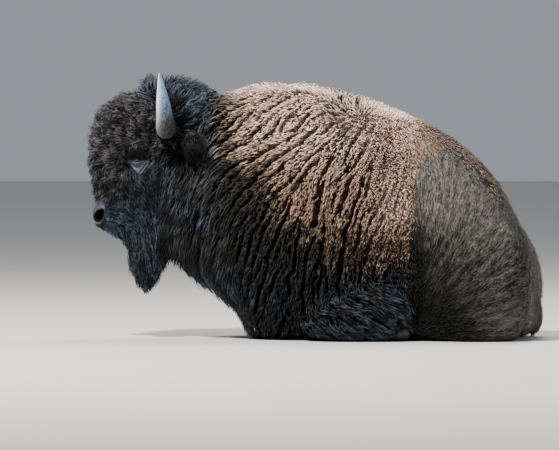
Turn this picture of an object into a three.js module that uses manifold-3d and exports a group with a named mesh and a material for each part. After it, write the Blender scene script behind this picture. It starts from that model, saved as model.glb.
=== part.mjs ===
// A bull American bison at rest, life size, in millimetres: it lies on its brisket with its legs
// folded under it. +Z is up, the head points along -X and the left flank faces -Y. The solids reach
// out to the tips of the coat.
import * as THREE from "three";
import { LoftGeometry } from "three/addons/geometries/LoftGeometry.js";
import { mergeVertices } from "three/addons/utils/BufferGeometryUtils.js";
import Module from "manifold-3d";

const wasm = await Module();
wasm.setup();

// Driving dimensions.
const height = 1213; // floor to the top of the hump
const rumpSwing = 90; // how far the rump lies to the left of the hump's own line
const hump = { x: -136, top: height };
const rearEnd = 1000; // where the rump has swung that far
const gap = 0.3; // between neighbouring pieces
const eyeRadius = 21;

// ---------------------------------------------------------------- shapes

// Smooth values between stations, each an object of named numbers. place runs from 0 to 1.
function between(stations, place) {
  const last = stations.length - 1;
  const i = Math.min(Math.floor(place * last), last - 1);
  const t = place * last - i;
  const made = {};
  for (const key of Object.keys(stations[0])) {
    const [a, b, c, d] = [-1, 0, 1, 2].map(
      (step) => stations[Math.min(Math.max(i + step, 0), last)][key],
    );
    const slope = (c - a) / 2;
    const nextSlope = (d - b) / 2;
    const rise = c - b;
    made[key] =
      b + slope * t + (3 * rise - 2 * slope - nextSlope) * t ** 2 + (slope + nextSlope - 2 * rise) * t ** 3;
  }
  return made;
}

// A number with its size raised to a power and its sign kept.
const power = (value, exponent) => Math.sign(value) * Math.abs(value) ** exponent;

// Places from 0 to 1, closer together near both ends, where the shapes round off.
function placesAlong(count) {
  return Array.from({ length: count + 1 }, (_, k) => (1 - Math.cos((Math.PI * k) / count)) / 2);
}

// How full a rounded shape is at a place: 1 in the middle, falling away at both ends.
const fullness = (place, bluntness) => Math.max((1 - Math.abs(2 * place - 1) ** bluntness) ** 0.5, 0.1);

function middleOf(ring) {
  return ring.reduce((sum, point) => sum.add(point), new THREE.Vector3()).divideScalar(ring.length);
}

// A closed surface through rings, each turned to run counterclockwise about the way ahead.
function loftThrough(rings) {
  const half = Math.floor(rings.length / 2);
  const [centre, next] = [rings[half], rings[half + 1]].map(middleOf);
  const turning = new THREE.Vector3();
  rings[half].forEach((point, k) => {
    const following = rings[half][(k + 1) % rings[half].length];
    turning.add(point.clone().sub(centre).cross(following.clone().sub(centre)));
  });
  const turned = turning.dot(next.sub(centre)) < 0 ? rings.map((ring) => ring.toReversed()) : rings;
  return new LoftGeometry(turned, { capStart: true, capEnd: true });
}

// A limb, horn or tail: rings square to a path, deep in the upright direction and wide across it.
function limb(
  stations,
  { rings = 10, sides = 12, bluntness = 6, fullTip = false, upright = new THREE.Vector3(0, 0, 1) } = {},
) {
  const at = (place) => {
    const { x, y, z } = between(stations, place);
    return new THREE.Vector3(x, y, z);
  };
  return loftThrough(
    placesAlong(rings).map((place) => {
      const { wide, deep } = between(stations, place);
      const along = at(Math.min(place + 0.01, 1)).sub(at(Math.max(place - 0.01, 0))).normalize();
      const across = new THREE.Vector3().crossVectors(along, upright).normalize();
      const raised = new THREE.Vector3().crossVectors(across, along);
      const full = fullTip ? 1 : fullness(place, bluntness);
      return Array.from({ length: sides }, (_, k) => {
        const angle = (2 * Math.PI * k) / sides;
        return at(place)
          .addScaledVector(across, Math.cos(angle) * wide * full)
          .addScaledVector(raised, Math.sin(angle) * deep * full);
      });
    }),
  );
}

// A shape of level rings, such as a head: each station has a height, a front, a back and a half width.
function levels(stations, { rings = 8, sides = 20, square = 2.2, y = 0 } = {}) {
  return loftThrough(
    Array.from({ length: rings + 1 }, (_, n) => {
      const { z, front, back, wide } = between(stations, n / rings);
      return Array.from({ length: sides }, (_, k) => {
        const angle = (2 * Math.PI * k) / sides;
        return new THREE.Vector3(
          (front + back) / 2 + ((back - front) / 2) * power(Math.cos(angle), 2 / square),
          y + wide * power(Math.sin(angle), 2 / square),
          z,
        );
      });
    }),
  );
}

// The spine's line as seen from above: straight from the head to the hump, then swinging left.
function spineY(x) {
  const past = Math.max(x - hump.x, 0) / (rearEnd - hump.x);
  return -rumpSwing * past ** 2;
}

// The point that lies a distance to the right of the spine's line, square to it.
function besideSpine(x, across, z) {
  const yaw = Math.atan2(spineY(x + 1) - spineY(x - 1), 2);
  return new THREE.Vector3(x - Math.sin(yaw) * across, spineY(x) + Math.cos(yaw) * across, z);
}

// A shape of upright rings square to the spine, such as the trunk.
function alongSpine(stations, { rings = 30, sides = 30 } = {}) {
  return loftThrough(
    Array.from({ length: rings + 1 }, (_, n) => {
      const s = between(stations, n / rings);
      return Array.from({ length: sides }, (_, k) => {
        const angle = (2 * Math.PI * k) / sides;
        const square = Math.sin(angle) > 0 ? s.squareTop : 2.5;
        const across = s.wide * power(Math.cos(angle), 2 / square);
        const up = power(Math.sin(angle), 2 / square);
        return besideSpine(s.x, across, s.widest + up * (up > 0 ? s.top - s.widest : s.widest - s.bottom));
      });
    }),
  );
}

function ball(radius, { x, y, z }, stretch = { x: 1, y: 1, z: 1 }) {
  return new THREE.SphereGeometry(radius, 10, 6).scale(stretch.x, stretch.y, stretch.z).translate(x, y, z);
}

// ---------------------------------------------------------------- solids

function merged(geometry) {
  const bare = new THREE.BufferGeometry().copy(geometry);
  bare.deleteAttribute("normal");
  bare.deleteAttribute("uv");
  return mergeVertices(bare, 1e-3);
}

function solidOf(geometry) {
  const shape = merged(geometry);
  return new wasm.Manifold(
    new wasm.Mesh({
      numProp: 3,
      vertProperties: shape.attributes.position.array,
      triVerts: new Uint32Array(shape.index.array),
    }),
  );
}

// The same shape, larger by the gap all round.
function roomFor(geometry) {
  const shape = merged(geometry);
  shape.computeVertexNormals();
  const { position, normal } = shape.attributes;
  for (let i = 0; i < position.count; i++) {
    position.setXYZ(
      i,
      position.getX(i) + normal.getX(i) * gap,
      position.getY(i) + normal.getY(i) * gap,
      position.getZ(i) + normal.getZ(i) * gap,
    );
  }
  return solidOf(shape);
}

// All the space on one side of a plane through a point.
function sideOf(point, direction) {
  const reach = 6000;
  const turn = new THREE.Quaternion().setFromUnitVectors(
    new THREE.Vector3(0, 0, 1),
    direction.clone().normalize(),
  );
  return solidOf(
    new THREE.BoxGeometry(reach, reach, reach)
      .translate(0, 0, reach / 2)
      .applyQuaternion(turn)
      .translate(point.x, point.y, point.z),
  );
}

// Parts a solid with a plane, leaving the gap: the piece that direction points to, then the other.
function parted(whole, point, direction) {
  const beyond = point.clone().addScaledVector(direction.clone().normalize(), gap);
  return [
    whole.intersect(sideOf(beyond, direction)),
    whole.intersect(sideOf(point, direction.clone().negate())),
  ];
}

function largest(solid) {
  return solid.decompose().reduce((best, piece) => (piece.volume() > best.volume() ? piece : best));
}

const aboveFloor = sideOf(new THREE.Vector3(0, 0, 0), new THREE.Vector3(0, 0, 1));
const bison = new THREE.Group();
const taken = []; // the room that earlier pieces need

function clearOfOthers(solid) {
  return taken.reduce((left, room) => left.subtract(room), solid.intersect(aboveFloor));
}

function addSolid(name, solid, material) {
  const { vertProperties, triVerts } = largest(solid).getMesh();
  const geometry = new THREE.BufferGeometry()
    .setAttribute("position", new THREE.BufferAttribute(vertProperties, 3))
    .setIndex(new THREE.BufferAttribute(triVerts, 1));
  geometry.computeVertexNormals();
  const mesh = new THREE.Mesh(geometry, material);
  mesh.name = name;
  bison.add(mesh);
}

// A piece cut by all that came before it, which later pieces then keep clear of.
function add(name, geometry, material, hollows = []) {
  const hollowed = hollows.reduce((left, hollow) => left.subtract(hollow), solidOf(geometry));
  addSolid(name, clearOfOthers(hollowed), material);
  taken.push(roomFor(geometry));
}

// ---------------------------------------------------------------- materials

const finish = (color, roughness) => new THREE.MeshStandardMaterial({ color, roughness, metalness: 0 });
const darkWool = finish("#2b2422", 0.9);
const capeWool = finish("#7b6250", 0.95);
const shortCoat = finish("#4a413c", 0.85);
const nose = finish("#1b191a", 0.5);
const horn = finish("#83827d", 0.45);
const hoof = finish("#3b3835", 0.6);
const eye = finish("#120e0c", 0.1);

// ---------------------------------------------------------------- head

const headY = 0;
const eyeAt = { x: -832, y: 150, z: 838 };
const hornRoot = { x: -690, y: 140, z: 990 };
const hornRise = { left: 255, right: 222 }; // the right horn's tip is worn down

const headStations = [
  { z: 462, front: -925, back: -830, wide: 34 },
  { z: 492, front: -975, back: -775, wide: 68 },
  { z: 532, front: -1026, back: -745, wide: 86 },
  { z: 590, front: -1040, back: -720, wide: 95 },
  { z: 645, front: -1021, back: -690, wide: 106 },
  { z: 735, front: -1046, back: -640, wide: 152 },
  { z: 830, front: -1064, back: -580, wide: 196 },
  { z: 915, front: -1062, back: -540, wide: 220 },
  { z: 1000, front: -1044, back: -520, wide: 222 },
  { z: 1070, front: -1014, back: -525, wide: 204 },
  { z: 1122, front: -962, back: -560, wide: 165 },
  { z: 1146, front: -895, back: -620, wide: 100 },
];

const crownStations = [
  { z: 960, front: -815, back: -500, wide: 190 },
  { z: 1060, front: -835, back: -455, wide: 200 },
  { z: 1140, front: -833, back: -462, wide: 176 },
  { z: 1194, front: -826, back: -530, wide: 136 },
  { z: 1222, front: -800, back: -600, wide: 70 },
];

const beardStations = [
  { z: 224, front: -805, back: -775, wide: 14 },
  { z: 262, front: -842, back: -735, wide: 44 },
  { z: 330, front: -872, back: -695, wide: 70 },
  { z: 420, front: -892, back: -675, wide: 88 },
  { z: 520, front: -900, back: -670, wide: 92 },
  { z: 580, front: -890, back: -690, wide: 70 },
];

// The left side is side -1, towards -Y, and the right side is +1.
function hornShape(side, rise) {
  const { x, y, z } = hornRoot;
  const line = [
    { x, y, z: z + 10, wide: 50, deep: 50 },
    { x: x + 2, y: y + 85, z: z - 6, wide: 48, deep: 50 },
    { x: x - 4, y: y + 140, z: z + 42, wide: 41, deep: 43 },
    { x: x - 14, y: y + 152, z: z + 122, wide: 31, deep: 32 },
    { x: x - 25, y: y + 130, z: z + 200, wide: 18, deep: 18 },
    { x: x - 31, y: y + 104, z: z + rise, wide: 4, deep: 4 },
  ];
  return limb(
    line.map((station) => ({ ...station, y: headY + side * station.y })),
    { rings: 10, sides: 10, fullTip: true, upright: new THREE.Vector3(1, 0, 0) },
  );
}

function earShape(side) {
  return limb(
    [
      { x: -625, y: headY + side * 175, z: 922, wide: 24, deep: 34 },
      { x: -590, y: headY + side * 235, z: 920, wide: 27, deep: 52 },
      { x: -545, y: headY + side * 285, z: 924, wide: 24, deep: 58 },
      { x: -500, y: headY + side * 322, z: 932, wide: 14, deep: 34 },
    ],
    { rings: 6, sides: 8, bluntness: 8 },
  );
}

const sides = { left: -1, right: 1 };
for (const [name, side] of Object.entries(sides)) {
  add("eye_" + name, ball(eyeRadius, { ...eyeAt, y: headY + side * eyeAt.y }), eye);
  add("horn_" + name, hornShape(side, hornRise[name]), horn);
  add("ear_" + name, earShape(side), darkWool);
}

const eyeSockets = Object.values(sides).map((side) =>
  solidOf(ball(50, { x: eyeAt.x, y: headY + side * (eyeAt.y + 45), z: eyeAt.z - 4 }, { x: 1.35, y: 1, z: 0.95 })),
);
const nostrils = Object.values(sides).map((side) =>
  solidOf(ball(20, { x: -1010, y: headY + side * 84, z: 592 }, { x: 1.2, y: 0.8, z: 1.1 })),
);
const headGeometry = levels(headStations, { rings: 12, sides: 16, y: headY });
const headSolid = [...eyeSockets, ...nostrils].reduce(
  (left, hollow) => left.subtract(hollow),
  solidOf(headGeometry),
);
const mouthCut = new THREE.Vector3(-1030, headY, 514);
const mouthSlope = new THREE.Vector3(0.16, 0, -1); // the jaw lies below the mouth's line
const muzzleCut = new THREE.Vector3(-1020, headY, 652);
const muzzleSlope = new THREE.Vector3(-0.42, 0, -1);
const [jaw, upperHead] = parted(clearOfOthers(headSolid), mouthCut, mouthSlope);
const [muzzle, skull] = parted(upperHead, muzzleCut, muzzleSlope);
addSolid("head", skull, darkWool);
addSolid("muzzle", muzzle, nose);
addSolid("jaw", jaw, darkWool);
taken.push(roomFor(headGeometry));
add("crown", levels(crownStations, { rings: 5, sides: 14, y: headY }), darkWool);
add("beard", levels(beardStations, { rings: 6, sides: 10, y: headY }), darkWool);

// ---------------------------------------------------------------- legs

// A leg's stations give y as a distance outwards from the spine's line on that side.
function outward(stations, side) {
  return stations.map((station) => {
    const { x, y } = besideSpine(station.x, side * station.y, 0);
    return { ...station, x, y };
  });
}

function shifted(stations, by) {
  return stations.map((station) => ({ ...station, x: station.x + by }));
}

const forearm = [
  { x: -66, y: 330, z: 62, wide: 64, deep: 64 },
  { x: 70, y: 348, z: 112, wide: 96, deep: 116 },
  { x: 210, y: 354, z: 148, wide: 114, deep: 154 },
  { x: 355, y: 346, z: 172, wide: 116, deep: 172 },
  { x: 474, y: 322, z: 188, wide: 84, deep: 124 },
];
const foreCannon = [
  { x: -35, y: 262, z: 44, wide: 44, deep: 46 },
  { x: 60, y: 255, z: 40, wide: 34, deep: 38 },
  { x: 160, y: 250, z: 38, wide: 36, deep: 38 },
  { x: 215, y: 248, z: 42, wide: 34, deep: 36 },
];
const foreHoof = [
  { x: 222, y: 248, z: 44, wide: 34, deep: 34 },
  { x: 262, y: 246, z: 42, wide: 42, deep: 38 },
  { x: 318, y: 244, z: 30, wide: 40, deep: 28 },
];
const thigh = [
  { x: 450, y: 235, z: 262, wide: 60, deep: 70 },
  { x: 540, y: 235, z: 272, wide: 150, deep: 168 },
  { x: 690, y: 230, z: 250, wide: 196, deep: 345 },
  { x: 840, y: 208, z: 222, wide: 198, deep: 358 },
  { x: 955, y: 180, z: 200, wide: 180, deep: 275 },
  { x: 1032, y: 155, z: 190, wide: 135, deep: 160 },
];
const shank = [
  { x: 455, y: 275, z: 78, wide: 58, deep: 62 },
  { x: 560, y: 292, z: 84, wide: 78, deep: 88 },
  { x: 740, y: 288, z: 84, wide: 84, deep: 92 },
  { x: 880, y: 262, z: 78, wide: 76, deep: 88 },
  { x: 980, y: 225, z: 72, wide: 62, deep: 76 },
];
const hindCannon = [
  { x: 940, y: 230, z: 52, wide: 44, deep: 52 },
  { x: 860, y: 240, z: 42, wide: 34, deep: 42 },
  { x: 700, y: 262, z: 38, wide: 31, deep: 38 },
  { x: 560, y: 285, z: 38, wide: 38, deep: 40 },
  { x: 478, y: 292, z: 42, wide: 34, deep: 36 },
];
const hindHoof = [
  { x: 472, y: 294, z: 42, wide: 36, deep: 36 },
  { x: 430, y: 298, z: 38, wide: 44, deep: 38 },
  { x: 362, y: 304, z: 22, wide: 38, deep: 20 },
];
const rightForelegForward = -240; // the right foreleg is folded further forward than the left

for (const [name, side] of Object.entries(sides)) {
  const forward = side > 0 ? rightForelegForward : 0;
  const fore = (stations) => outward(shifted(stations, forward), side);
  add("hoof_fore_" + name, limb(fore(foreHoof), { rings: 4, sides: 8 }), hoof);
  add("hoof_hind_" + name, limb(outward(hindHoof, side), { rings: 4, sides: 8 }), hoof);
  add("foreleg_cannon_" + name, limb(fore(foreCannon), { rings: 4, sides: 8 }), darkWool);
  add("foreleg_arm_" + name, limb(fore(forearm), { rings: 6, sides: 10 }), darkWool);
  add("hindleg_cannon_" + name, limb(outward(hindCannon, side), { rings: 5, sides: 8 }), shortCoat);
  add("hindleg_shank_" + name, limb(outward(shank, side), { rings: 5, sides: 8 }), shortCoat);
  add("hindleg_thigh_" + name, limb(outward(thigh, side), { rings: 8, sides: 12 }), shortCoat);
}

// ---------------------------------------------------------------- tail

const tailSide = 20; // the tail lies a little to the right of the spine's line
const tailLine = [
  { x: 882, y: tailSide, z: 645, wide: 40, deep: 40 },
  { x: 952, y: tailSide, z: 500, wide: 34, deep: 34 },
  { x: 1020, y: tailSide, z: 345, wide: 27, deep: 27 },
  { x: 1048, y: tailSide + 5, z: 200, wide: 24, deep: 24 },
];
const tailTuft = [
  { x: 1048, y: tailSide + 5, z: 198, wide: 26, deep: 26 },
  { x: 1040, y: tailSide + 12, z: 120, wide: 40, deep: 40 },
  { x: 1022, y: tailSide + 30, z: 45, wide: 38, deep: 38 },
  { x: 1000, y: tailSide + 60, z: 22, wide: 12, deep: 14 },
];
add("tail", limb(outward(tailLine, 1), { rings: 6, sides: 8 }), shortCoat);
add("tail_tuft", limb(outward(tailTuft, 1), { rings: 5, sides: 8 }), darkWool);

// ---------------------------------------------------------------- neck and trunk

const trunkStations = [
  { x: -720, top: 1040, bottom: 450, widest: 770, wide: 130, squareTop: 2.2 },
  { x: -640, top: 1115, bottom: 340, widest: 730, wide: 205, squareTop: 2.1 },
  { x: -545, top: 1143, bottom: 262, widest: 690, wide: 255, squareTop: 2 },
  { x: -440, top: 1156, bottom: 192, widest: 630, wide: 305, squareTop: 1.9 },
  { x: -345, top: 1184, bottom: 104, widest: 570, wide: 352, squareTop: 1.8 },
  { x: -285, top: 1199, bottom: -20, widest: 535, wide: 376, squareTop: 1.75 },
  { x: hump.x, top: hump.top, bottom: -40, widest: 490, wide: 408, squareTop: 1.75 },
  { x: 50, top: 1188, bottom: -40, widest: 460, wide: 424, squareTop: 1.8 },
  { x: 240, top: 1142, bottom: -40, widest: 440, wide: 432, squareTop: 1.85 },
  { x: 410, top: 1070, bottom: -40, widest: 430, wide: 428, squareTop: 1.9 },
  { x: 500, top: 1030, bottom: -40, widest: 420, wide: 396, squareTop: 2 },
  { x: 640, top: 950, bottom: -30, widest: 410, wide: 378, squareTop: 2 },
  { x: 770, top: 842, bottom: -20, widest: 400, wide: 352, squareTop: 2 },
  { x: 880, top: 702, bottom: 0, widest: 360, wide: 312, squareTop: 2 },
  { x: 960, top: 540, bottom: 20, widest: 300, wide: 272, squareTop: 2 },
  { x: 1016, top: 408, bottom: 50, widest: 240, wide: 222, squareTop: 2 },
  { x: 1046, top: 310, bottom: 90, widest: 200, wide: 130, squareTop: 2 },
];
const throatCut = new THREE.Vector3(-400, 0, 600);
const throatSlope = new THREE.Vector3(-1, 0, -0.12);
const capeEdge = new THREE.Vector3(452, 0, 500);
const capeSlope = new THREE.Vector3(1, 0, 0.02);
const hipCut = new THREE.Vector3(700, 0, 500);
const hipSlope = new THREE.Vector3(1, -0.3, 0.25);

const body = clearOfOthers(solidOf(alongSpine(trunkStations, { rings: 20, sides: 20 })));
const [neck, trunk] = parted(body, throatCut, throatSlope);
const [behind, forequarters] = parted(trunk, capeEdge, capeSlope);
const [rump, barrel] = parted(behind, hipCut, hipSlope);
addSolid("neck", neck, darkWool);
addSolid("forequarters", forequarters, capeWool);
addSolid("barrel", barrel, shortCoat);
addSolid("rump", rump, shortCoat);

// The frame's origin is on the floor, under the middle of the animal.
const extent = new THREE.Box3().setFromObject(bison);
const middle = extent.getCenter(new THREE.Vector3());
bison.position.set(-middle.x, -middle.y, -extent.min.z);

export default bison;
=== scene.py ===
import math
import time

import bmesh
import bpy
import numpy as np
from mathutils import Matrix, Vector, kdtree
from mathutils.bvhtree import BVHTree


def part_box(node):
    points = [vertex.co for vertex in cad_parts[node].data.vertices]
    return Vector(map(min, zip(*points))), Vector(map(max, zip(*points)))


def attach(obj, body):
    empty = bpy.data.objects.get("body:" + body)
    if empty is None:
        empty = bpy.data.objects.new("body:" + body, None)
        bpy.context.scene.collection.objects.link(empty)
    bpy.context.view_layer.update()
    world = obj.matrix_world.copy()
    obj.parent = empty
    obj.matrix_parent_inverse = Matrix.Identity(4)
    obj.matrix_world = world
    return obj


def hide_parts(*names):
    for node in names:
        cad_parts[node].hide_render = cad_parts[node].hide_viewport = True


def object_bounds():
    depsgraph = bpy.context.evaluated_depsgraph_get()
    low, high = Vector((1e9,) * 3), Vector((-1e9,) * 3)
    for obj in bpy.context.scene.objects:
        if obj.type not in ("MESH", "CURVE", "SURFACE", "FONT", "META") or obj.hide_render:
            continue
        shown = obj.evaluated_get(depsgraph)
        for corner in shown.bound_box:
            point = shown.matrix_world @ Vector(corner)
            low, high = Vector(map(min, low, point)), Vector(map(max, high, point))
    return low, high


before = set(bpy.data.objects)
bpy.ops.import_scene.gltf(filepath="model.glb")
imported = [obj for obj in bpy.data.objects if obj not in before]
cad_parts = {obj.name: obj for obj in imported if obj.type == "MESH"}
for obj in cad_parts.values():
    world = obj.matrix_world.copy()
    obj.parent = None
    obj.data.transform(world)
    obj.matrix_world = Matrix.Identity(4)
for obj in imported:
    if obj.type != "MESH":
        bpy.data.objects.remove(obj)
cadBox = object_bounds()
started = time.time()


def report(text):
    print(f"{time.time() - started:6.1f} s  {text}", flush=True)


# small tools for arrays of points
noiseCells = 32
noiseTable = np.random.default_rng(5).random((noiseCells, noiseCells, noiseCells))


def softNoise(points, size, shift=0.0):
    # smooth noise from -1 to 1 with lumps about `size` metres across
    grid = points / size + 50.0 + shift * 3.37
    cell = np.floor(grid).astype(int)
    part = grid - cell
    part = part * part * (3 - 2 * part)
    total = np.zeros(len(points))
    for corner in np.ndindex(2, 2, 2):
        weight = np.prod(np.where(corner, part, 1 - part), axis=1)
        x, y, z = ((cell + corner) % noiseCells).T
        total += weight * noiseTable[x, y, z]
    return total * 2 - 1


def ease(low, high, value):
    # 0 below low, 1 above high, smooth between; low may be the larger
    part = np.clip((value - low) / (high - low), 0, 1)
    return part * part * (3 - 2 * part)


def unit(vectors):
    return vectors / np.maximum(np.linalg.norm(vectors, axis=-1, keepdims=True), 1e-9)


def dot(a, b):
    return (a * b).sum(-1)


def flat(vectors, normals):
    # the part of each vector that lies along the surface, at length 1
    return unit(vectors - normals * dot(vectors, normals)[:, None])


def readOut(items, key, width=1, kind=np.int32):
    # one row of `width` numbers for each item of a mesh
    values = np.empty(len(items) * width, kind)
    items.foreach_get(key, values)
    return values.reshape(-1, width) if width > 1 else values


def pointsOf(mesh):
    return readOut(mesh.vertices, "co", 3, float)


def setPoints(mesh, points):
    mesh.vertices.foreach_set("co", np.ascontiguousarray(points, np.float32).ravel())
    mesh.update()


def normalsOf(mesh):
    return readOut(mesh.vertex_normals, "vector", 3, np.float32).astype(float)


def setAttribute(mesh, name, values):
    layer = mesh.attributes.new(name, "FLOAT_VECTOR" if values.ndim > 1 else "FLOAT", "POINT")
    layer.data.foreach_set("vector" if values.ndim > 1 else "value", values.astype(np.float32).ravel())


def dressed(mesh, finish):
    # smooth shading and one material
    mesh.polygons.foreach_set("use_smooth", np.ones(len(mesh.polygons), bool))
    mesh.materials.clear()
    mesh.materials.append(finish)


def meshFrom(form, name):
    # the mesh of a bmesh, which is then let go
    mesh = bpy.data.meshes.new(name)
    form.to_mesh(mesh)
    form.free()
    return mesh


def linked(name, mesh):
    piece = bpy.data.objects.new(name, mesh)
    bpy.context.scene.collection.objects.link(piece)
    return piece


def withModifier(mesh, kind, **settings):
    # the mesh that a modifier makes of this one
    carrier = linked("carrier", mesh)
    modifier = carrier.modifiers.new(kind, kind)
    for key, value in settings.items():
        setattr(modifier, key, value)
    made = bpy.data.meshes.new_from_object(carrier.evaluated_get(bpy.context.evaluated_depsgraph_get()))
    bpy.data.objects.remove(carrier)
    return made


def nearestOn(tree, points):
    # for each point the nearest place on a surface, with its face's normal and number
    found = [tree.find_nearest(point) for point in points]
    places = np.array([tuple(hit[0]) for hit in found])
    normals = np.array([tuple(hit[1]) for hit in found])
    return places, normals, np.array([hit[2] for hit in found])


def finderOf(points):
    # a function that gives the number of the nearest of these points to each place
    tree = kdtree.KDTree(len(points))
    for index, point in enumerate(points):
        tree.insert(point, index)
    tree.balance()
    return lambda places: [tree.find(place)[1] for place in places.tolist()]


class Net:
    # who is next to whom on a mesh, over its edges and across its quads
    def __init__(self, mesh):
        corners = readOut(mesh.loops, "vertex_index")
        first = readOut(mesh.polygons, "loop_start")
        quads = first[readOut(mesh.polygons, "loop_total") == 4]
        pairs = [readOut(mesh.edges, "vertices", 2)]
        pairs += [np.stack([corners[quads + step], corners[quads + step + 2]], 1) for step in (0, 1)]
        pairs = np.concatenate(pairs)
        pairs = np.concatenate([pairs, pairs[:, ::-1]])
        pairs = pairs[np.argsort(pairs[:, 0], kind="stable")]
        self.here, self.there = pairs.T
        self.first = np.searchsorted(self.here, np.arange(len(mesh.vertices)))

    def spread(self, values, rounds, keep=0.0):
        # each round takes the mean of the neighbours, keeping a share of the own value
        column = values.reshape(len(values), -1)
        total = np.add.reduceat(np.ones(len(self.here)), self.first)[:, None]
        for _ in range(rounds):
            mean = np.add.reduceat(column[self.there], self.first, axis=0) / total
            column = column * keep + mean * (1 - keep)
        return column.reshape(values.shape)


# the body's outer shape, joined from the frame's nodes of flesh
bodySettings = {
    "grow": 0.001,          # closes the thin gaps between nodes
    "outerVoxel": 0.012,
    "skinVoxel": 0.0110,    # the skin that shows
    "bedVoxel": 0.0074,     # a finer copy that the coat is planned on and grows from
    "shrinkSteps": 6,
    "floorGap": 0.004,      # lowest point of the skin
}

# the coat of each part: how deep the skin lies under the tips
coatDepth = {
    "cape": 0.040, "mane": 0.055, "head": 0.012, "muzzle": 0.002, "jaw": 0.018,
    "crown": 0.045, "beard": 0.036, "ear": 0.008, "foreleg": 0.034, "shin": 0.008,
    "barrel": 0.010, "rump": 0.007, "haunch": 0.007, "tail": 0.006, "tailTuft": 0.016,
}
bareDepth = 0.004      # round the eyes
regions = list(coatDepth)
regionStarts = {
    "forequarters": "cape", "neck": "mane", "head": "head", "muzzle": "muzzle", "jaw": "jaw",
    "crown": "crown", "beard": "beard", "ear": "ear", "foreleg_arm": "foreleg",
    "foreleg_cannon": "shin", "barrel": "barrel", "rump": "rump", "hindleg": "haunch",
    "tail_tuft": "tailTuft", "tail": "tail",
}
rigidNodes = ("eye", "horn", "hoof")
fleshNodes = sorted(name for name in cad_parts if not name.startswith(rigidNodes))


def middle(node):
    low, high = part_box(node)
    return np.array((low + high) / 2)


eyeMiddle = {side: middle("eye_" + side) for side in ("left", "right")}
headMiddle = float(middle("head")[1])
muzzleLow, muzzleHigh = (np.array(corner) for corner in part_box("muzzle"))
jawLow, jawHigh = (np.array(corner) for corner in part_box("jaw"))
hornLow = np.array(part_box("horn_left")[0])

headSettings = {
    "nostrilBack": 0.030,     # behind the muzzle's tip
    "nostrilHeight": 0.578,
    "nostrilOut": 0.076, "hornOut": 0.115,        # from the head's middle plane
    "hornBack": 0.050, "hornUp": 0.045,           # from the front and the foot of the horns
    "nostrilPlug": 0.018, "hornPlug": 0.055,      # balls that fill the rooms cut for nostrils and horns
}


def onBothSides(x, out, z):
    return [np.array((x, headMiddle + way * out, z)) for way in (-1, 1)]


def plugRooms(s):
    # where the balls go, how large they are and what region they are part of
    hornRoots = onBothSides(hornLow[0] + s["hornBack"], s["hornOut"], hornLow[2] + s["hornUp"])
    plugs = [(root, s["hornPlug"], "head") for root in hornRoots]
    for way, place in zip((-1, 1), nostrilPlaces):
        outward = np.array((0, way * s["nostrilPlug"], 0))
        plugs.append((place - outward, s["nostrilPlug"], "muzzle"))
    return plugs


nostrilPlaces = onBothSides(
    muzzleLow[0] + headSettings["nostrilBack"], headSettings["nostrilOut"], headSettings["nostrilHeight"])


def regionOf(node):
    return next(region for start, region in regionStarts.items() if node.startswith(start))


def joinedFlesh():
    joined, owner = bmesh.new(), []
    for name in fleshNodes:
        part = bmesh.new()
        part.from_mesh(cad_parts[name].data)
        bmesh.ops.remove_doubles(part, verts=part.verts, dist=1e-5)
        part.normal_update()
        for vertex in part.verts:
            vertex.co += vertex.normal * bodySettings["grow"]
        owner += [regions.index(regionOf(name))] * len(part.faces)
        joined.from_mesh(meshFrom(part, name + "Copy"))
    for place, radius, region in plugRooms(headSettings):
        before = len(joined.faces)
        ball = bmesh.ops.create_icosphere(joined, subdivisions=3, radius=radius)
        bmesh.ops.translate(joined, verts=ball["verts"], vec=Vector(place))
        owner += [regions.index(region)] * (len(joined.faces) - before)
    return joined, np.array(owner)


flesh, regionOfFace = joinedFlesh()
fleshTree = BVHTree.FromBMesh(flesh)
fleshMesh = meshFrom(flesh, "flesh")
outerMesh = withModifier(fleshMesh, "REMESH", mode="VOXEL", voxel_size=bodySettings["outerVoxel"])
outerNet = Net(outerMesh)
outerPoints = outerNet.spread(pointsOf(outerMesh), 2, keep=0.4)
setPoints(outerMesh, outerPoints)
outerShares = np.zeros((len(outerPoints), len(regions)))
nearestFace = [fleshTree.find_nearest(point)[2] for point in outerPoints]
outerShares[np.arange(len(outerPoints)), regionOfFace[nearestFace]] = 1
outerShares = outerNet.spread(outerShares, 8, keep=0.3)
report(f"outer shape with {len(outerPoints)} points")

outerForm = bmesh.new()
outerForm.from_mesh(outerMesh)
outerTree = BVHTree.FromBMesh(outerForm)
outerForm.free()


def share(weights, *names):
    return sum(weights[:, regions.index(name)] for name in names)


def fromEyes(points):
    # distance to the nearer eye
    return np.min([np.linalg.norm(points - eye, axis=1) for eye in eyeMiddle.values()], axis=0)


eyeZone = {
    "wide": 0.062, "high": 0.064,             # the arch of the brow round the upper half
    "lowWide": 0.064, "lowHigh": 0.078,       # the bare triangle below
    "back": 0.010,                            # how far behind the ball its middle lies
    "reach": 0.092,                           # no bare skin further from the ball than this
}
eyeLift = 0.003      # the balls sit a little above the middle of their nodes


def byEye(points):
    # ahead, up and out from the eye on the same side of the head
    way = np.where(points[:, 1] > headMiddle, 1, -1)
    eye = np.where((way > 0)[:, None], eyeMiddle["right"], eyeMiddle["left"])
    return eye[:, 0] - points[:, 0], points[:, 2] - eye[:, 2] - eyeLift, (points[:, 1] - eye[:, 1]) * way


def eyeArch(ahead, up):
    return np.hypot((ahead + eyeZone["back"]) / eyeZone["wide"], up / eyeZone["high"])


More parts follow.
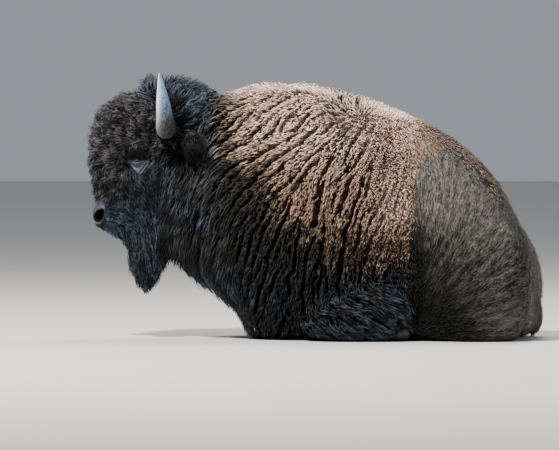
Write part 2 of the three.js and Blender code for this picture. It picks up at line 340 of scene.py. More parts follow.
def eyeRadius(points):
    # 1 along the edge of the bare skin round the eye
    s = eyeZone
    ahead, up, out = byEye(points)
    narrow = np.maximum(1 + 0.8 * up / s["lowHigh"], 0.25)
    below = np.hypot((ahead + s["back"] - 0.12 * up) / (s["lowWide"] * narrow), up / s["lowHigh"])
    return np.maximum(np.where(up > 0, eyeArch(ahead, up), below), fromEyes(points) / s["reach"])


mopSettings = {
    "low": 0.615,                          # lowest height of the forehead's mop
    "rise": 0.17,                          # how far that rises towards the ears
    "riseFrom": -0.97, "riseTo": -0.82,    # along x
    "edge": 0.06,                          # height over which the mop thins out
    "depth": 0.038,
    "eyeClear": 1.02, "eyeFull": 1.5,      # in radii of the bare skin round the eye
}


def mopShare(points):
    # the woolly forehead: high on the head and clear of the eyes
    s = mopSettings
    low = s["low"] + s["rise"] * ease(s["riseFrom"], s["riseTo"], points[:, 0])
    high = ease(low, low + s["edge"], points[:, 2])
    return high * ease(s["eyeClear"], s["eyeFull"], eyeRadius(points))


def depthAt(points, weights):
    depth = weights @ np.array(list(coatDepth.values()))
    depth += share(weights, "head") * mopShare(points) * (mopSettings["depth"] - coatDepth["head"])
    bare = ease(1.35, 0.85, eyeRadius(points))
    depth = depth * (1 - bare) + bareDepth * bare
    under = ease(-0.3, -0.8, normalsOf(outerMesh)[:, 2]) * ease(0.12, 0.04, points[:, 2])
    return outerNet.spread(depth * (1 - 0.92 * under), 10, keep=0.3)


# the skin: the outer shape drawn in by the coat's depth
drawnMesh = outerMesh.copy()
drawn = outerPoints
depth = depthAt(outerPoints, outerShares)
for _ in range(bodySettings["shrinkSteps"]):
    drawn = drawn - normalsOf(drawnMesh) * (depth / bodySettings["shrinkSteps"])[:, None]
    drawn = outerNet.spread(drawn, 1, keep=0.5)
    setPoints(drawnMesh, drawn)
skinMesh = withModifier(drawnMesh.copy(), "REMESH", mode="VOXEL", voxel_size=bodySettings["skinVoxel"])
bedMesh = withModifier(drawnMesh, "REMESH", mode="VOXEL", voxel_size=bodySettings["bedVoxel"])
report(f"skin with {len(skinMesh.vertices)} points, bed for the coat with {len(bedMesh.vertices)}")


def refine(mesh, chosen):
    # splits the edges whose points are both chosen by the given test
    form = bmesh.new()
    form.from_mesh(mesh)
    inside = chosen(np.array([v.co for v in form.verts]))
    edges = [e for e in form.edges if inside[e.verts[0].index] and inside[e.verts[1].index]]
    bmesh.ops.subdivide_edges(form, edges=edges, cuts=1, use_grid_fill=True, smooth=0.0)
    form.to_mesh(mesh)
    form.free()
    mesh.update()


def onMuzzle(points):
    x, y, z = points.T
    return (x < muzzleHigh[0] - 0.08) & (z > jawLow[2] - 0.03) & (z < muzzleHigh[2] + 0.01)


def atDetail(points, eyeReach, nostrilReach):
    found = fromEyes(points) < eyeReach
    for place in nostrilPlaces:
        found |= np.linalg.norm(points - place, axis=1) < nostrilReach
    return found


detailReaches = ((0.090, 0.060), (0.078, 0.050), (0.036, 0.030))      # round each eye and each nostril
refine(skinMesh, lambda points: onMuzzle(points) | atDetail(points, *detailReaches[0]))
for reaches in detailReaches[1:]:
    refine(skinMesh, lambda points: atDetail(points, *reaches))
skinNet = Net(skinMesh)
skinPoints = pointsOf(skinMesh)
skinPoints = skinNet.spread(skinPoints, 3, keep=0.3)


def filledMuzzle(points):
    # smoothing rounds the bare muzzle off, so it goes back out to the solids' own shape
    standOff = 0.004
    chosen = np.flatnonzero((points[:, 0] < -0.93) & (points[:, 2] < 0.70))
    places, normals, _ = nearestOn(outerTree, points[chosen])
    target = places + standOff * normals
    amount = ease(-0.945, -1.0, points[chosen, 0]) * ease(0.685, 0.645, points[chosen, 2])
    moved = points.copy()
    moved[chosen] += (target - points[chosen]) * amount[:, None]
    return moved


skinPoints = filledMuzzle(skinPoints)
setPoints(skinMesh, skinPoints)

# the face: lids, nostrils and mouth pressed into the skin
faceSettings = {
    "ballRadius": 0.0205,
    "lidThick": 0.0040,
    "openWide": 0.0185, "openHigh": 0.0120,   # half sizes of the lids' opening
    "nostrilWide": 0.027, "nostrilHigh": 0.029, "nostrilDeep": 0.036,
    "nostrilSide": 0.055,                    # how far across each nostril reaches
    "mouthDeep": 0.008, "mouthWide": 0.0035,
}


def bump(value, centre, width):
    return np.exp(-(((value - centre) / width) ** 2))


def eyeFolds(ahead, up):
    # the brow's fold and the creases round the eye, each 0 to 1
    arch = eyeArch(ahead, up)
    fold = bump(arch, 0.74, 0.13) * ease(-0.016, 0.004, up)
    outer = bump(arch, 1.04, 0.09) * ease(-0.024, 0.008, up)
    inner = bump(arch, 0.50, 0.055) * ease(-0.004, 0.010, up)
    duct = bump(up + 0.027 - 0.12 * (ahead - 0.04), 0, 0.0035)
    duct = duct * ease(0.022, 0.034, ahead) * ease(0.080, 0.068, ahead)
    slant = (ahead + 0.047) * 0.80 + (up + 0.019) * 0.59
    corner = bump(slant, 0, 0.0032) * ease(-0.066, -0.052, up) * ease(-0.010, -0.020, up)
    return fold, np.maximum(outer, duct), np.maximum(inner, corner)


def eyeAlmond(ahead, up):
    return np.hypot(ahead / faceSettings["openWide"], (up + ahead * 0.12) / faceSettings["openHigh"])


def sculptEyes(points):
    # the lids are a shell just outside the ball, open in an almond
    s = faceSettings
    ahead, up, out = byEye(points)
    reach = np.hypot(ahead, up)
    almond = eyeAlmond(ahead, up)
    shell = s["ballRadius"] + s["lidThick"]
    lid = np.sqrt(np.maximum(shell**2 - reach**2, 0.0))
    inner = np.sqrt(np.maximum((s["ballRadius"] - 0.004) ** 2 - reach**2, 0.0))
    fold, outer, crease = eyeFolds(ahead, up)
    wrinkle = np.sin((up - 0.45 * ahead) * 620 + 60 * ahead)
    wrinkle = wrinkle * ease(-0.016, -0.024, up) * ease(0.075, 0.05, reach)
    base = out + 0.006 * fold - 0.010 * outer - 0.006 * crease + 0.0014 * wrinkle
    sharp = 200.0      # how tightly the skin runs over the shell
    covered = np.log(np.exp(sharp * base) + np.exp(sharp * lid)) / sharp
    height = np.where(reach < shell, covered, base)
    height += 0.0022 * bump(almond, 1.28, 0.16) * (reach < 0.04)
    opened = ease(1.10, 0.94, almond)
    height = height * (1 - opened) + inner * opened
    way = np.where(points[:, 1] > headMiddle, 1, -1)
    near = (fromEyes(points) < 0.11) & (out > -0.035)
    moved = points.copy()
    moved[near, 1] += ((height - out) * way)[near]
    return moved


def nostrilShape(points, place):
    # 1 along the rim of a tall opening, straighter at its rear
    ahead = -(points[:, 0] - place[0])
    up = points[:, 2] - place[2]
    s = faceSettings
    wide = s["nostrilWide"] * np.where(ahead > 0, 1.0, 0.62)
    return np.hypot((ahead + 0.006 + 0.25 * up) / wide, up / s["nostrilHigh"])


def sculptNostril(points, place, way):
    hole = nostrilShape(points, place)
    side = abs(points[:, 1] - place[1]) < faceSettings["nostrilSide"]
    level = ease(1.12, 0.72, hole) * side
    rim = bump(hole, 1.32, 0.18) * side
    behind = ease(0.004, -0.012, place[0] - points[:, 0])
    inward = unit(np.array([0.50, -way * 0.85, 0.10]))
    return points + inward * (level * faceSettings["nostrilDeep"] - rim * (0.002 + 0.007 * behind))[:, None]


def sculptMouth(points):
    # a groove along the line that parts the lips
    s = faceSettings
    lineHeight = jawHigh[2] - 0.048 - 0.42 * (points[:, 0] - muzzleLow[0] - 0.03)
    away = points[:, 2] - lineHeight
    zone = ease(-0.905, -0.935, points[:, 0]) * (points[:, 2] < muzzleHigh[2])
    groove = bump(away, 0, s["mouthWide"]) * s["mouthDeep"]
    lips = bump(abs(away), 0.010, 0.006) * 0.002
    return points - normalsOf(skinMesh) * ((groove - lips) * zone)[:, None]


skinPoints = sculptEyes(skinPoints)
for way, place in zip((-1, 1), nostrilPlaces):
    skinPoints = sculptNostril(skinPoints, place, way)
setPoints(skinMesh, skinPoints)
skinPoints = sculptMouth(skinPoints)
skinPoints[:, 2] = np.maximum(skinPoints[:, 2], bodySettings["floorGap"])
setPoints(skinMesh, skinPoints)
report(f"face pressed in, {len(skinPoints)} points")

# how the coat lies, planned on the bed
nearestDrawn = finderOf(drawn)
bedNet = Net(bedMesh)
bedPoints = bedNet.spread(pointsOf(bedMesh), 2, keep=0.3)
bedPoints[:, 2] = np.maximum(bedPoints[:, 2], bodySettings["floorGap"])
setPoints(bedMesh, bedPoints)
bedNormals = normalsOf(bedMesh)
bedShares = bedNet.spread(outerShares[nearestDrawn(bedPoints)], 2, keep=0.3)
bedDepth = np.array([outerTree.find_nearest(point)[3] for point in bedPoints])
report("regions laid over the bed")

whorl = {"x": 0.10, "y": 0.33, "z": 1.11}     # the crown of the hair on each shoulder


def fromWhorl(points, side):
    # the way to each point from the whorl on the given side of the body, -1 to 1
    return points - np.stack([whorl["x"] + 0 * side, whorl["y"] * side, whorl["z"] + 0 * side], 1)


def whorlDistance(points):
    return np.linalg.norm(fromWhorl(points, np.where(points[:, 1] > 0, 1, -1)), axis=1)


def lie(points, weights):
    # which way the hair runs, before it is laid along the surface
    x, y, z = points.T
    side = np.tanh(y / 0.04)
    one, none = np.ones(len(points)), np.zeros(len(points))
    away = unit(fromWhorl(points, side))
    lower = ease(0.85, 0.55, z)
    downBack = np.stack([0.6 * lower - 0.75, none, -0.55 - 0.3 * lower], 1)
    away += (0.55 * ease(0.40, 0.10, x))[:, None] * downBack
    away[:, 2] -= 1.9 * ease(0.86, 1.06, z) * ease(0.12, -0.12, x)
    away += (1.3 * ease(0.0, 0.30, x) * ease(1.15, 0.95, z))[:, None] * np.array([-0.75, 0, -0.65])
    low = ease(0.60, 0.15, z)[:, None]
    stifle = unit(np.stack([0.40 - x, 0.2 * side - 0.5 * y, 0.02 - z], 1))
    back = np.array([0.35, 0, -1.0]) * one[:, None]
    hind = stifle + back * 0.6 * ease(0.45, 0.80, z)[:, None]
    crownUp = one - 1.3 * ease(0.12, 0.25, abs(y))
    runs = {
        "cape": away + low * np.array([-0.25, 0, -0.8]),
        "mane": np.stack([-0.42 + 0.5 * ease(0.45, 0.15, z), side * 0.25, -0.9 * one], 1),
        "head": np.stack([0.45 * one, side * 0.15, -0.85 * one], 1),
        "muzzle": np.stack([0.8 * one, none, -0.4 * one], 1),
        "jaw": np.stack([0.35 * one, none, -0.95 * one], 1),
        "crown": np.stack([-0.55 + 1.5 * ease(-0.80, -0.62, x), side * 0.15, crownUp], 1),
        "beard": np.stack([0.06 * one, none, -one], 1),
        "ear": np.stack([0.45 * one, side * 0.8, -0.25 * one], 1),
        "foreleg": np.stack([0.85 * one, none, -0.55 * one], 1),
        "shin": np.stack([one, none, -0.2 * one], 1),
        "barrel": hind, "rump": hind, "haunch": hind,
        "tail": np.stack([0.25 * one, none, -one], 1),
        "tailTuft": np.stack([0.1 * one, none, -one], 1),
    }
    total = sum(unit(runs[name]) * weights[:, [i]] for i, name in enumerate(regions))
    mop = (share(weights, "head") * mopShare(points))[:, None]
    outward = np.stack([-0.5 * one, side * 0.3, 0.25 - 0.9 * ease(0.95, 0.75, z)], 1)
    return total * (1 - mop) + unit(outward) * mop


# where the wool curls every way
wild = ease(0.12, 0.34, bedPoints[:, 0] + 0.08 * softNoise(bedPoints, 0.15))
wild = np.clip(wild + ease(0.20, 0.08, whorlDistance(bedPoints)), 0, 1) * share(bedShares, "cape", "barrel")
bedLie = flat(bedNet.spread(lie(bedPoints, bedShares), 3), bedNormals)
wander = 0.35 * softNoise(bedPoints, 0.055, 3.0) * share(bedShares, "cape", "mane", "foreleg")
bedLie = unit(bedLie + np.cross(bedNormals, bedLie) * wander[:, None])
nearestBed = finderOf(bedPoints)


def streaks(where, size, reach, steps, shift):
    # noise averaged up and down the lie of the hair, which draws it out into forked lines
    here = np.flatnonzero(where)
    total = softNoise(bedPoints[here], size, shift)
    for way in (-1, 1):
        spots, runs = bedPoints[here], bedLie[here]
        for _ in range(steps):
            spots = spots + runs * (way * reach / steps)
            total = total + softNoise(spots, size, shift)
            runs = bedLie[nearestBed(spots)]
    lines = np.zeros(len(bedPoints))
    lines[here] = total
    lines = lines - bedNet.spread(lines, 10)
    return lines / np.maximum(np.sqrt(bedNet.spread(lines**2, 20)), 1e-9)


longWool = share(bedShares, "cape", "mane", "foreleg") > 0.05
shortHair = share(bedShares, "barrel", "rump", "haunch", "shin") > 0.05
furrows = streaks(longWool, size=0.0145, reach=0.12, steps=9, shift=2.0)
rearGrain = streaks(shortHair, size=0.0095, reach=0.042, steps=5, shift=4.0)
report("furrows drawn along the coat")

# markings, shared by skin and coat
markSettings = {
    # the spine's sideways swing along the back
    "spinePlaces": (-0.15, 0.20, 0.50, 0.80, 1.05),
    "spineSwings": (0.005, -0.004, -0.028, -0.066, -0.10),
    # front edge of the brown cape: its x at each height, and how softly it fades
    "edgeHeights": (0.30, 0.36, 0.45, 0.65, 0.77, 0.88, 1.00, 1.20),
    "edgePlaces": (0.22, 0.04, -0.03, -0.14, -0.21, -0.33, -0.36, -0.39),
    "edgeSoft": 0.13,
    "rearEdge": 0.437, "rearLean": 0.14,               # where the wool ends, and how much further back on top
}


def spineAt(x):
    return np.interp(x, markSettings["spinePlaces"], markSettings["spineSwings"])


def markings(points, weights):
    # how much of each colour there is at each point, 0 to 1
    s = markSettings
    x, y, z = points.T
    broad = softNoise(points, 0.12)
    fine = softNoise(points, 0.035, 1.0)
    edge = np.interp(z, s["edgeHeights"], s["edgePlaces"])
    behind = ease(-s["edgeSoft"], s["edgeSoft"], x - edge + 0.05 * broad + 0.03 * fine)
    behind = behind * ease(0.310, 0.42, z + 0.02 * fine + 0.02 * broad)
    fade = 0.012 + 0.11 * ease(0.66, 0.90, z)
    rearEdge = s["rearEdge"] + s["rearLean"] * ease(0.72, 1.0, z)
    front = ease(fade, -fade, x - rearEdge - 0.012 * broad - 0.014 * fine)
    woolly = share(weights, "cape", "mane", "foreleg", "crown", "barrel", "rump")
    rear = share(weights, "barrel", "rump", "haunch", "tail", "shin") + 0.95 * share(weights, "tailTuft")
    spine = ease(0.21, 0.07, abs(y - spineAt(x)) + 0.03 * fine + 0.02 * broad) * ease(0.44, 0.56, x)
    spine = spine * ease(0.60, 0.72, z) * ease(0.95, 0.78, x + 0.03 * broad)
    mop = share(weights, "head") * mopShare(points)
    pale = ease(0.68, 1.02, z + 0.05 * broad) * ease(-0.50, -0.32, x)
    pale = np.maximum(pale, 0.45 * ease(0.20, 0.36, x) * ease(0.46, 0.62, z)) * ease(0.50, 0.40, x)
    dust = 0.6 * ease(0.26, 0.04, z) * ease(0.74, 0.92, x) * (0.75 + 0.25 * broad)
    # painted shadow under the belly by the stifle, where the hair is also darker, and a painted shadow in a
    # band behind the wool's rear edge
    dusk = ease(0.42, 0.10, np.hypot((x - 0.50) * 0.9, z * 1.05 - 0.02) + 0.03 * broad)
    shadowBehindWool = ease(0.075, 0.015, abs(x - 0.462)) * ease(0.66, 0.40, z) * ease(0.3, 0.5, abs(y) + 0.3)
    dusk = np.maximum(dusk, shadowBehindWool)
    cape, mane = share(weights, "cape"), share(weights, "mane")
    byWhorl = ease(0.14, 0.03, np.hypot(x - 0.11, z - 1.05) + 0.04 * broad)
    # painted shade on the throat
    neckShade = ease(0.22, 0.08, np.hypot(x + 0.60, z - 0.55) + 0.04 * broad)
    # painted shade, with some darker hair: darker low on the wool, the mane and the rear, by the whorl, on
    # the beard, under the ear, on the lower mop and on the throat; lighter at the far buttock and at the rear
    # of the cape
    shadeAndDarkHair = ease(0.80, 0.42, z) * share(weights, "cape", "mane", "foreleg")
    shadeAndDarkHair = shadeAndDarkHair * (1 - 0.7 * ease(0.16, 0.34, x)) + byWhorl * cape
    shadeAndDarkHair = np.maximum(shadeAndDarkHair, 1.5 * rear * ease(0.66, 0.36, z) * (1 - dust) * (0.75 + 0.35 * ease(0.8, 0.5, x)))
    shadeAndDarkHair += 0.85 * ease(0.60, 0.40, z) * cape
    shadeAndDarkHair += 0.45 * mane
    shadeAndDarkHair -= 1.3 * rear * ease(0.965, 1.01, x)
    shadeAndDarkHair += 0.9 * share(weights, "beard")
    shadeAndDarkHair += 1.5 * share(weights, "ear")
    shadeAndDarkHair += 1.3 * mop * ease(0.84, 0.70, z)
    shadeAndDarkHair += 0.8 * neckShade
    shadeAndDarkHair -= 0.5 * ease(0.30, 0.42, x) * ease(0.46, 0.62, z) * cape
    # painted blue of the sky's reflection in the dark hair, stronger low down where it is shaded: on the
    # face, beard, ears, mane, crown and the lowest wool
    bluish = 0.5 + 0.6 * broad + 0.6 * ease(0.45, 0.2, z) + 0.5 * ease(-0.50, -0.70, x)
    cool = share(weights, "beard", "jaw", "ear") + 0.7 * share(weights, "head", "muzzle")
    cool += mane * np.clip(bluish, 0, 1)
    cool += 0.75 * share(weights, "crown") * ease(-0.90, -0.80, x)
    cool += share(weights, "cape", "foreleg") * ease(0.42, 0.24, z) * (0.8 + 0.3 * broad)
    # painted shadows: black under the ear and the crown's overhang, between the wool's edge and the foreleg,
    # and between mane and foreleg
    earShadow = np.hypot(np.hypot((x + 0.575) / 0.085, (z - 0.885) / 0.075), (abs(y) - 0.26) / 0.20)
    gap = np.hypot((x + 0.02) / 0.14, (z - 0.285) / 0.045)      # between the wool's edge and the foreleg
    seamShadow = np.hypot((x + 0.115) / 0.030, (z - 0.19) / 0.17)     # between mane and foreleg
    return {
        "wool": np.clip(behind * woolly * front, 0, 1),
        "rear": np.clip(rear, 0, 1),
        "ridge": np.clip(spine * rear, 0, 1),
        "pale": np.clip(pale * behind * woolly * front, 0, 1),
        "dust": np.clip(dust * rear, 0, 1),
        "dusk": np.clip(dusk * rear, 0, 1),
        "shadeAndDarkHair": np.clip(shadeAndDarkHair, -1, 2),
        "warm": np.clip(mop, 0, 1),
        "cool": np.clip(cool * (1 - mop), 0, 1),
        "furrowShade": np.max([ease(1.3, 0.85, earShadow + 0.1 * fine), 0.85 * ease(1.2, 0.6, gap + 0.15 * fine),
                          0.7 * ease(1.3, 0.5, seamShadow + 0.25 * fine)], axis=0),
    }


def furrowShare(points, weights):
    # where the wool parts in long furrows: the front and lower cape, fading to its rear and at the whorl
    place = ease(0.38, 0.16, points[:, 0] + 0.12 * softNoise(points, 0.2, 2.0)) * share(weights, "cape")
    place = place * ease(0.08, 0.20, whorlDistance(points))
    return place + 0.6 * share(weights, "mane") + 0.5 * share(weights, "foreleg")


bedMarks = markings(bedPoints, bedShares)
furrowed = furrowShare(bedPoints, bedShares)
bedFurrow = ease(-0.75, -1.25, furrows) * furrowed
bedSink = ease(0.6, -1.1, furrows) * furrowed           # the ridges' rounded sides
rearLines = np.clip(0.5 * rearGrain, -1, 1)
bedMarks["furrowShade"] = np.maximum(bedFurrow, bedMarks["furrowShade"])
slopes = (bedFurrow[bedNet.there] - bedFurrow[bedNet.here])[:, None]
slopes = slopes * (bedPoints[bedNet.there] - bedPoints[bedNet.here])
bedPart = -np.add.reduceat(slopes, bedNet.first, axis=0) * 3000      # points away from the nearest furrow
bedPart = bedPart / np.maximum(1, np.linalg.norm(bedPart, axis=1))[:, None]
furrowDeep, ridgeHigh = 0.020, 0.004
carve = furrowDeep * bedFurrow - ridgeHigh * ease(0.2, 1.0, furrows) * furrowed
bedPoints = bedPoints - bedNormals * carve[:, None]
setPoints(bedMesh, bedPoints)

# the same markings on the skin, and those of the face
nearBed = np.array(nearestBed(skinPoints))
skinNormals = normalsOf(skinMesh)
skinShares = skinNet.spread(bedShares[nearBed], 3)
skinMarks = markings(skinPoints, skinShares)
ahead, up, out = byEye(skinPoints)
roundEye = (fromEyes(skinPoints) < 0.11) & (out > -0.04)
fold, outer, crease = eyeFolds(ahead, up)
almond = eyeAlmond(ahead, up)
fine, eyeRing = softNoise(skinPoints, 0.010), eyeRadius(skinPoints)
hole = np.full(len(skinPoints), np.inf)
for place in nostrilPlaces:
    beside = abs(skinPoints[:, 1] - place[1]) > faceSettings["nostrilSide"]
    hole = np.minimum(hole, nostrilShape(skinPoints, place) + 9 * beside)
muzzleBare = ease(-0.975, -1.005, skinPoints[:, 0]) * ease(0.665, 0.635, skinPoints[:, 2])
hidden = np.clip(share(skinShares, "cape", "mane", "foreleg", "crown", "beard") * 1.3, 0, 1)
# painted shade: near black in the furrows, the nostrils, the creases round the eyes and on the skin under the
# long wool
skinMarks["furrowShade"] = np.max([
    skinNet.spread(bedFurrow[nearBed], 1, keep=0.5), skinMarks["furrowShade"], ease(1.05, 0.80, hole),
    roundEye * np.maximum(outer, 0.75 * crease),
    0.9 * hidden * (1 - 0.6 * wild[nearBed]),      # painted shade between the locks of wool
], axis=0)
skinMarks["bare"] = np.maximum(roundEye * ease(1.12, 0.95, eyeRing), muzzleBare)
lowerLid = ease(0.004, -0.012, up + 0.004 * fine) * ease(1.05, 0.75, eyeRing) * ease(0.047, 0.030, ahead)
upperLid = ease(0.036, 0.022, np.hypot(ahead, up - 0.004)) * ease(0.0, 0.010, up)
lidGlint = roundEye * bump(almond, 1.14, 0.10) * ease(0.000, -0.005, up)
wetEdge = roundEye * bump(almond, 1.12, 0.16) * ease(0.002, -0.004, up)
aboveNose = muzzleBare * ease(0.598, 0.622, skinPoints[:, 2])
nostrilRimHighlight = 0.85 * bump(hole, 1.30, 0.13) * muzzleBare
# pale bare skin below the eye and above the nostrils, with a painted glint along the lower lid and a painted
# highlight on the nostrils' rims
light = np.max([roundEye * lowerLid, lidGlint, aboveNose * 0.8, nostrilRimHighlight], axis=0)
skinMarks["light"] = light * (0.8 + 0.25 * fine)
skinMarks["tan"] = roundEye * np.maximum(0.55 * upperLid, 0.10 * fold)
skinMarks["wet"] = np.maximum(wetEdge, muzzleBare * bump(hole, 1.2, 0.2))
skinMarks["line"] = skinNet.spread(rearLines[nearBed], 1, keep=0.6) * np.clip(skinMarks["rear"], 0, 1)
skinPoints = skinPoints - skinNormals * (hidden * 0.012 * skinMarks["furrowShade"] + hidden * 0.003)[:, None]
setPoints(skinMesh, skinPoints)
report("markings laid over skin and bed")

# the unwrap that places each lock's patch of colour
unwrapSettings = {
    "kept": 0.05,      # share of the skin's faces
    "angle": 66,       # degrees
    "gap": 0.004,      # between islands, as a share of the map
}


def unwrapped(mesh, s):
    # a light copy of the mesh, its faces' corners and their places on the map
    light = withModifier(mesh.copy(), "DECIMATE", ratio=s["kept"])
    carrier = linked("light", light)
    bpy.context.view_layer.objects.active = carrier
    carrier.select_set(True)
    bpy.ops.object.mode_set(mode="EDIT")
    bpy.ops.mesh.select_all(action="SELECT")
    bpy.ops.uv.smart_project(angle_limit=math.radians(s["angle"]), island_margin=s["gap"])
    bpy.ops.object.mode_set(mode="OBJECT")
    light.calc_loop_triangles()
    faces = readOut(light.loop_triangles, "vertices", 3)
    corners = readOut(light.loop_triangles, "loops", 3)
    uv = readOut(light.uv_layers.active.data, "uv", 2, np.float32)
    points = pointsOf(light)
    tree = BVHTree.FromPolygons(points.tolist(), faces.tolist())
    bpy.data.objects.remove(carrier)
    return tree, points[faces], uv[corners]


unwrapTree, unwrapPlaces, unwrapUv = unwrapped(skinMesh, unwrapSettings)
report(f"unwrap of {len(unwrapPlaces)} faces")


def patchPlace(roots):
    # where each root falls on the unwrap
    hit, _, face = nearestOn(unwrapTree, roots)
    a, b, c = unwrapPlaces[face].transpose(1, 0, 2)
    across = np.cross(b - a, c - a)
    size = np.maximum(dot(across, across), 1e-18)
    second = dot(np.cross(hit - a, c - a), across) / size
    third = dot(np.cross(b - a, hit - a), across) / size
    shares = np.stack([1 - second - third, second, third], 1)[..., None]
    return (unwrapUv[face] * shares).sum(1)


# the coat: joined locks of hair, each a tapering closed curl
bedMesh.calc_loop_triangles()
bedFaces = readOut(bedMesh.loop_triangles, "vertices", 3)
first, second, third = bedPoints[bedFaces].transpose(1, 0, 2)
bedAreas = np.linalg.norm(np.cross(second - first, third - first), axis=1) / 2
patchWide = 0.003       # of each lock's patch of colour, as a share of the map
coatLimit = 190000      # triangles in one piece
rootDeep = 0.003        # how far each lock starts below the bed
ridgeSides = 0.016      # how far the locks lie lower down the sides of the cape's ridges
# usual values, which a coat's own dictionary may change
usualLock = {"lift": 1.4, "droop": 0.0, "flat": 0.55, "ragged": 0.003, "clump": None}


def sow(density, spacing, draw):
    # evenly spread roots, one for each `spacing` squared where density is 1
    reach = np.cumsum(bedAreas * density[bedFaces].mean(1))
    count = int(reach[-1] / spacing**2)
    marks = (np.arange(count) + draw.random(count)) / count * reach[-1]
    face = bedFaces[np.searchsorted(reach, marks)]
    turn, slide = np.sqrt(draw.random(count)), draw.random(count)
    shares = np.stack([1 - turn, turn * (1 - slide), turn * slide], 1)
    return lambda values: np.einsum("nk,nk...->n...", shares, values[face])


def lockMesh(name, path, across, up, wide, thick, tones, marks, patches):
    count, rings = len(path), path.shape[1] - 1
    along = np.linspace(0, 1, rings + 1)
    taper = (0.6 + 2.2 * along) * (1 - along) ** 0.9
    turns = np.radians([90, 210, 330])
    ring = across[:, None, None] * np.cos(turns)[:, None] * wide[:, None, None, None]
    ring = ring + up[:, None, None] * np.sin(turns)[:, None] * thick[:, None, None, None]
    body = path[:, :rings, None] + ring * taper[:rings, None, None]
    points = np.concatenate([body.reshape(count, -1, 3), path[:, rings:]], 1)
    corner = np.arange(3)
    after = (corner + 1) % 3
    sides = [np.stack([r * 3 + corner, r * 3 + after, r * 3 + 3 + after, r * 3 + 3 + corner], 1)
             for r in range(rings - 1)]
    last = (rings - 1) * 3
    caps = np.stack([last + corner, last + after, np.full(3, rings * 3)], 1)
    loops = np.concatenate([np.concatenate(sides).ravel(), caps.ravel(), [2, 1, 0]])
    sizes = np.array([4] * (3 * (rings - 1)) + [3] * 4)
    perLock = rings * 3 + 1
    starts = (np.arange(count) * perLock)[:, None]
    mesh = bpy.data.meshes.new(name)
    mesh.vertices.add(count * perLock)
    mesh.loops.add(count * len(loops))
    mesh.polygons.add(count * len(sizes))
    mesh.vertices.foreach_set("co", points.astype(np.float32).ravel())
    mesh.loops.foreach_set("vertex_index", (loops + starts).astype(np.int32).ravel())
    begins = np.concatenate([[0], np.cumsum(sizes)[:-1]]) + (np.arange(count) * len(loops))[:, None]
    mesh.polygons.foreach_set("loop_start", begins.astype(np.int32).ravel())
    mesh.polygons.foreach_set("use_smooth", np.ones(count * len(sizes), bool))
    mesh.update(calc_edges=True)
    rise = np.append(np.repeat(along[:rings], 3), 1.0)
    spot = np.stack([np.append(np.tile([-0.5, 0.0, 0.5], rings), 0.0), rise - 0.5], 1) * patchWide
    patch = (patches[:, None] + spot).clip(0, 1)
    layer = mesh.uv_layers.new(name="OFBake")
    layer.data.foreach_set("uv", patch[:, loops].astype(np.float32).ravel())
    setAttribute(mesh, "along", np.tile(rise, count))
    setAttribute(mesh, "tone", np.repeat(tones, perLock))
    for key, values in marks.items():
        setAttribute(mesh, key, np.repeat(values, perLock))
    return mesh


